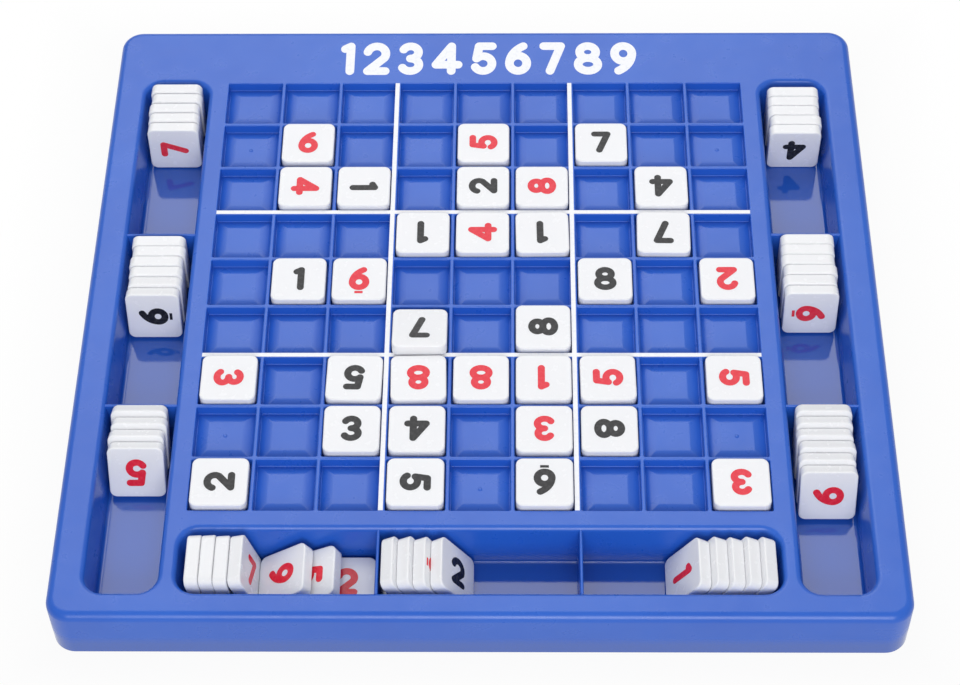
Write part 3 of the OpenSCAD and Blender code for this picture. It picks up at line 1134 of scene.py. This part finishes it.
@dataclass(frozen=True)
class DeckPrint:
    """White print on the deck: the lines between the boxes and plain numbers in the header."""

    middle_x: float = 1.5
    beyond_grid: float = 111.5
    length: float = 115.0
    height: float = 17.4
    stretch: float = 0.83

    def build(self, ink: PrintedInk, shapes: NumeralShapes, grid_y: float, deck_z: float) -> None:
        """Dresses the box lines and prints the header.

        Args:
            ink: The white ink.
            shapes: Shapes of the digits.
            grid_y: Middle of the grid in millimetres.
            deck_z: Height of the deck in millimetres.
        """
        white = ink.material()
        give_material("box_lines", white)
        widths = {}
        for digit in shapes.patches:
            low, high = shapes.width(digit)
            widths[digit] = (high - low) * self.height * self.stretch
        gap = (self.length - sum(widths.values())) / (len(widths) - 1)
        plate = PrintPlate(shapes)
        left = -self.length / 2
        for digit, width in widths.items():
            plate.digit(digit, self.height, (left + width / 2, 0.0), self.stretch)
            left += width + gap
        place = Matrix.Translation(Vector((self.middle_x, grid_y + self.beyond_grid, deck_z)) * MM)
        piece = plate.build("header_numbers", place)
        piece.data.materials.append(white)
        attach(piece, "board")


@dataclass(frozen=True)
class SoftLight:
    """A large soft panel light that looks at the middle of the board."""

    name: str
    place: Triple
    size: Point
    radiance: float

    def build(self) -> None:
        """Makes the light, with its power worked out from the wanted radiance."""
        lamp = bpy.data.lights.new(self.name, "AREA")
        lamp.shape = "RECTANGLE"
        lamp.size, lamp.size_y = self.size
        lamp.energy = self.radiance * math.pi * self.size[0] * self.size[1]
        item = add_object(self.name, lamp)
        item.location = self.place
        item.rotation_mode = "QUATERNION"
        item.rotation_quaternion = (-Vector(self.place)).to_track_quat("-Z", "Y")


@dataclass(frozen=True)
class Studio:
    """Pale floor, soft light and the camera of the photograph.

    The camera's place is measured from the middle of the grid, at the height of the deck.
    """

    grid_y: float
    deck_z: float
    half_size: Point
    floor_colour: Colour = (0.48, 0.48, 0.5)
    floor_roughness: float = 0.9
    floor_size: float = 40.0
    shadow_share: float = 0.06
    shadow_reach: float = 0.04
    world_strength: float = 0.49
    focal_px: float = 2371.1
    sensor_width: float = 36.0
    clip_start: float = 0.01
    camera_place: Triple = (0.011443, -0.53648, 0.66427)
    camera_right: Triple = (0.999898, 0.008737, -0.011318)
    camera_down: Triple = (0.000052, -0.793785, -0.608199)
    lights: tuple[SoftLight, ...] = (
        SoftLight("back_panel", (-0.15, 0.95, 1.25), (1.3, 1.3), 2.05),
        SoftLight("front_panel", (0.1, -1.9, 1.15), (1.2, 1.2), 5.2),
    )

    def build(self) -> None:
        """Makes the whole studio."""
        for name in ("Cube", "Light", "Camera"):
            stray = bpy.data.objects.get(name)
            if stray is not None:
                bpy.data.objects.remove(stray, do_unlink=True)
        for light in self.lights:
            light.build()
        self.sky()
        self.floor()
        self.camera()
        bpy.context.scene.view_settings.view_transform = "Standard"

    def sky(self) -> None:
        """Makes an even pale surround."""
        world = bpy.data.worlds.new("studio_surround")
        world.use_nodes = True
        tree = world.node_tree
        background = next(n for n in tree.nodes if n.type == "BACKGROUND")
        background.inputs["Color"].default_value = (1.0, 1.0, 1.0, 1.0)
        background.inputs["Strength"].default_value = self.world_strength
        bpy.context.scene.world = world

    def floor(self) -> None:
        """Makes the floor, which fades to plain white away from the board."""
        half = self.floor_size / 2
        mesh = bpy.data.meshes.new("studio_floor")
        corners = [(-half, -half, 0), (half, -half, 0), (half, half, 0), (-half, half, 0)]
        mesh.from_pydata(corners, [], [(0, 1, 2, 3)])
        item = add_object("studio_floor", mesh)
        graph = ShaderGraph("floor_paper")
        graph.fill(graph.shader, {"Base Color": (*self.floor_colour, 1.0), "Roughness": self.floor_roughness})
        self.whiten(graph)
        mesh.materials.append(graph.material)

    def whiten(self, graph: ShaderGraph) -> None:
        """Shows the floor as white paper, with a share of the board's shadow left close to it.

        Args:
            graph: The floor's material.
        """
        place = graph.add("ShaderNodeSeparateXYZ", {"Vector": graph.place})
        beyond = []
        for axis, half in zip("XY", self.half_size):
            beyond.append(graph.math("SUBTRACT", graph.math("ABSOLUTE", place.outputs[axis]), half))
        distance = graph.math("MAXIMUM", *beyond)
        white = graph.range(distance, (0.0, self.shadow_reach), (1.0 - self.shadow_share, 1.0))
        path = graph.add("ShaderNodeLightPath", {})
        seen = graph.math("MAXIMUM", path.outputs["Is Camera Ray"], path.outputs["Is Glossy Ray"])
        seen = graph.math("MAXIMUM", seen, path.outputs["Is Transmission Ray"])
        paper = graph.add("ShaderNodeEmission", {})
        mix = graph.add("ShaderNodeMixShader", {
            "Fac": graph.math("MULTIPLY", seen, white),
            1: graph.shader.outputs["BSDF"],
            2: paper.outputs["Emission"],
        })
        output = next(n for n in graph.tree.nodes if n.type == "OUTPUT_MATERIAL")
        graph.fill(output, {"Surface": mix.outputs["Shader"]})

    def camera(self) -> None:
        """Makes the camera at the place solved from the grid's lines."""
        data = bpy.data.cameras.new("photo_camera")
        data.sensor_width = self.sensor_width
        data.lens = self.focal_px * self.sensor_width / PHOTO_WIDTH_PX
        data.clip_start = self.clip_start
        right = Vector(self.camera_right).normalized()
        up = -Vector(self.camera_down).normalized()
        place = Matrix((right, up, right.cross(up))).transposed().to_4x4()
        place.translation = Vector(self.camera_place) + Vector((0, self.grid_y, self.deck_z)) * MM
        item = add_object("photo_camera", data)
        item.matrix_world = place
        bpy.context.scene.camera = item


BOARD_PLASTIC = MouldedPlastic(
    name="blue_moulded_plastic",
    colour=(0.022, 0.125, 0.6),
    deep_colour=(0.018, 0.11, 0.56),
    flow_scale=22.0,
    gloss_low=0.26,
    gloss_high=0.34,
    grain_scale=2600.0,
    grain_height_mm=0.004,
    polish_and_shade_below_mm=5.2,
    polish=0.07,
    # Painted shade: darker colour of the low well floors.
    floor_colour=(0.017, 0.1, 0.49),
    floor_sheen=0.75,
)
TILE_PLASTIC = MouldedPlastic(
    name="white_moulded_plastic",
    colour=(0.86, 0.868, 0.895),
    deep_colour=(0.845, 0.853, 0.883),
    flow_scale=60.0,
    gloss_low=0.24,
    gloss_high=0.28,
    grain_scale=2600.0,
    grain_height_mm=0.003,
    glow_depth_mm=1.0,
)
INKS = {
    Ink.RED: PrintedInk("red_print", (0.78, 0.022, 0.045), (0.82, 0.05, 0.075)),
    Ink.BLACK: PrintedInk("black_print", (0.014, 0.014, 0.016), (0.04, 0.04, 0.043)),
}
WHITE_INK = PrintedInk("white_print", (0.92, 0.93, 0.96), (0.86, 0.88, 0.94), roughness=0.3)


def main() -> None:
    """Builds and dresses every piece in order."""
    logging.basicConfig(level=logging.INFO)
    shapes = NumeralShapes()
    board = Board(BoardSizes())
    moulding = board.build(BOARD_PLASTIC)
    LOG.info("%s: %d points", moulding.name, len(moulding.data.vertices))
    tiles = Tiles(TILE_PLASTIC, INKS, shapes)
    LOG.info("tile nodes: %d", tiles.dress())
    LOG.info("digits: %d", tiles.print_all())
    DeckPrint().build(WHITE_INK, shapes, board.grid_y, board.height)
    Studio(board.grid_y, board.height, (board.width / 2 * MM, board.depth / 2 * MM)).build()


if __name__ == "__main__":
    main()
